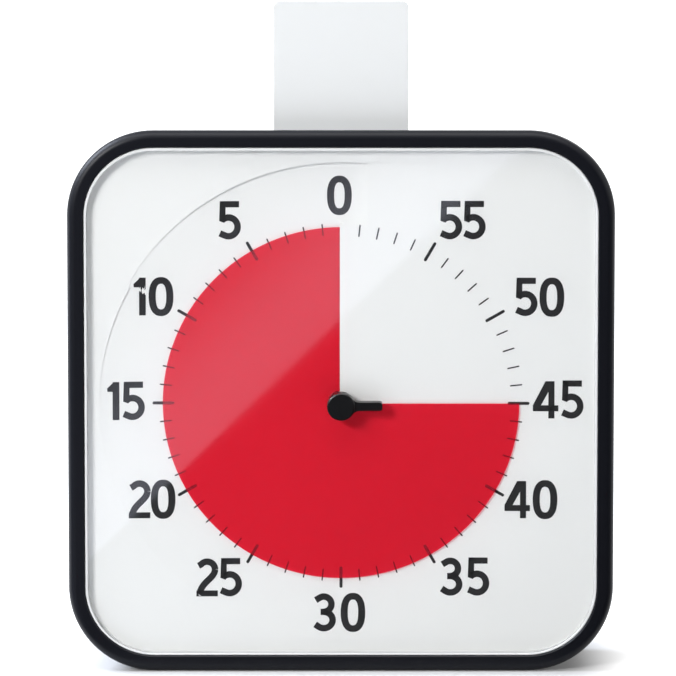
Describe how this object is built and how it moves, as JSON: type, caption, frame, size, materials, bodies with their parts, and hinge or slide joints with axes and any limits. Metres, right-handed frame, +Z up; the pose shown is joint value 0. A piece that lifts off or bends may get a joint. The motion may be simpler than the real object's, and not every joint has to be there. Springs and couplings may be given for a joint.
{
  "type": "countdown timer",
  "caption": "Visual countdown timer: square black case, red disc that sinks into a white dial as time runs out, pointer knob, card in the top slot.",
  "frame": {"origin": "middle of the flat base that stands on the table", "axes": "+Z up, the dial faces -Y, +X to the viewer's right"},
  "size_m": [0.19, 0.0626, 0.2348],
  "materials": {
    "rim_black": "satin",
    "clear_lens": "polished",
    "frame_white": "gloss",
    "dial_white": "satin",
    "disc_red": "satin",
    "knob_black": "satin",
    "steel": "satin",
    "brass": "satin",
    "inner_plastic": "matte",
    "gear_plastic": "satin",
    "copper_wire": "lacquered",
    "board_green": "satin",
    "battery_wrap": "gloss",
    "magnet_steel": "satin",
    "cover_black": "fine texture",
    "card_white": "gloss"
  },
  "bodies": {
    "housing": {"rim": "rim_black", "lens_ring": "frame_white", "lens": "clear_lens", "front_frame": "frame_white", "dial_plate": "dial_white", "spindle_bush": "brass", "chassis": "inner_plastic", "movement_front": "inner_plastic", "movement_rear": "inner_plastic", "stator": "steel", "coil": "copper_wire", "movement_screws": "steel", "circuit_board": "board_green", "buzzer": "inner_plastic", "volume_pot": "inner_plastic", "battery": "battery_wrap", "battery_spring": "steel", "battery_contact": "steel", "rear_cover": "cover_black", "case_screws": "steel", "foot_pins": "steel", "magnets": "magnet_steel", "card_pocket": "inner_plastic"},
    "knob": {"knob": "knob_black", "spindle": "steel", "spindle_gear": "gear_plastic"},
    "disc": {"time_disc": "disc_red", "disc_hub": "disc_red"},
    "intermediate": {"intermediate_gear": "gear_plastic"},
    "rotor": {"rotor": "gear_plastic"},
    "volume": {"volume_wheel": "cover_black"},
    "left_foot": {"foot_left": "cover_black"},
    "right_foot": {"foot_right": "cover_black"},
    "door": {"battery_door": "cover_black"},
    "card": {"activity_card": "card_white"}
  },
  "joints": [
    {"name": "knob_turn", "type": "hinge", "parent": "housing", "child": "knob", "pos_m": [0, -0.01, 0.0946], "axis": [0, -1, 0], "range_deg": [-270, 90]},
    {"name": "disc_climb", "type": "slide", "parent": "knob", "child": "disc", "axis": [0, -1, 0], "range_m": [-0.00135, 0.00045]},
    {"name": "intermediate_turn", "type": "hinge", "parent": "housing", "child": "intermediate", "pos_m": [0.01299, 0.0087, 0.1021], "axis": [0, -1, 0], "range_deg": [-361, 1081]},
    {"name": "rotor_turn", "type": "hinge", "parent": "housing", "child": "rotor", "pos_m": [0.00549, 0.0087, 0.11509], "axis": [0, -1, 0], "range_deg": [-4321, 1441]},
    {"name": "volume_turn", "type": "hinge", "parent": "housing", "child": "volume", "pos_m": [-0.055, 0.0221, 0.078], "axis": [1, 0, 0], "range_deg": [-135, 135]},
    {"name": "left_foot_swing", "type": "hinge", "parent": "housing", "child": "left_foot", "pos_m": [-0.05, 0.0135, 0.002], "axis": [0, 0, -1], "range_deg": [0, 90]},
    {"name": "right_foot_swing", "type": "hinge", "parent": "housing", "child": "right_foot", "pos_m": [0.05, 0.0135, 0.002], "axis": [0, 0, 1], "range_deg": [0, 90]},
    {"name": "door_swing", "type": "hinge", "parent": "housing", "child": "door", "pos_m": [0, 0.02905, 0.02335], "axis": [-1, 0, 0], "range_deg": [0, 90]},
    {"name": "card_slide", "type": "slide", "parent": "housing", "child": "card", "axis": [0, 0, 1], "range_m": [0, 0.032]}
  ],
  "couplings": [
    {"joint": "disc_climb", "follows": "knob_turn", "m_per_rad": 0.00028648},
    {"joint": "intermediate_turn", "follows": "knob_turn", "ratio": -4},
    {"joint": "rotor_turn", "follows": "knob_turn", "ratio": 16}
  ]
}
